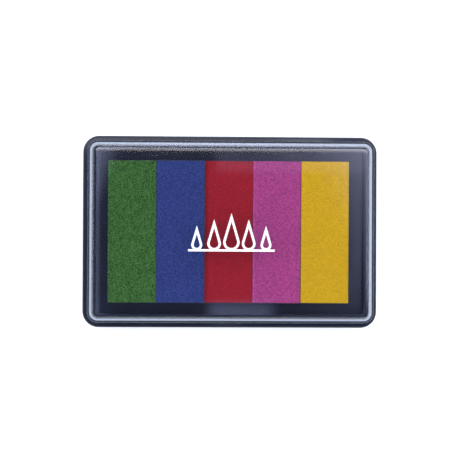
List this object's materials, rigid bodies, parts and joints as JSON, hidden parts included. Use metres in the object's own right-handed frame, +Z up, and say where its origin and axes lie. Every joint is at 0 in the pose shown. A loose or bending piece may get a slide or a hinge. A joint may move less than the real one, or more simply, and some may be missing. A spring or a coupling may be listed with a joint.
{
  "type": "ink pad",
  "caption": "Rectangular multicolour stamp ink pad: a black moulded base with a raised row of ink strips under a clear lift-off lid.",
  "frame": {"origin": "on the standing face, under the middle of the base", "axes": "+X along the row of strips towards the yellow end, +Y towards the back edge, +Z up out of the lid"},
  "size_m": [0.097, 0.063, 0.0181],
  "materials": {
    "base_plastic": "glossy moulded black polystyrene",
    "tape": "double-sided tape",
    "barrier_film": "thin dark film",
    "lid_plastic": "clear glossy moulded polystyrene",
    "print_ink": "white pad print",
    "foam_green": "ink-soaked foam",
    "cloth_green": "fine ink-soaked stamping cloth",
    "foam_blue": "ink-soaked foam",
    "cloth_blue": "fine ink-soaked stamping cloth",
    "foam_red": "ink-soaked foam",
    "cloth_red": "fine ink-soaked stamping cloth",
    "foam_pink": "ink-soaked foam",
    "cloth_pink": "fine ink-soaked stamping cloth",
    "foam_yellow": "ink-soaked foam",
    "cloth_yellow": "fine ink-soaked stamping cloth"
  },
  "bodies": {
    "base": {"base_shell": "base_plastic", "base_plate": "base_plastic", "tape_green": "tape", "tape_blue": "tape", "tape_red": "tape", "tape_pink": "tape", "tape_yellow": "tape", "foam_green": "foam_green", "foam_blue": "foam_blue", "foam_red": "foam_red", "foam_pink": "foam_pink", "foam_yellow": "foam_yellow", "cloth_green": "cloth_green", "cloth_blue": "cloth_blue", "cloth_red": "cloth_red", "cloth_pink": "cloth_pink", "cloth_yellow": "cloth_yellow", "barrier_green_blue": "barrier_film", "barrier_blue_red": "barrier_film", "barrier_red_pink": "barrier_film", "barrier_pink_yellow": "barrier_film"},
    "cover": {"lid": "lid_plastic", "lid_print": "print_ink"}
  },
  "joints": [
    {"name": "lid_lift", "type": "slide", "parent": "base", "child": "cover", "axis": [0, 0, 1], "range_m": [0, 0.03]}
  ]
}
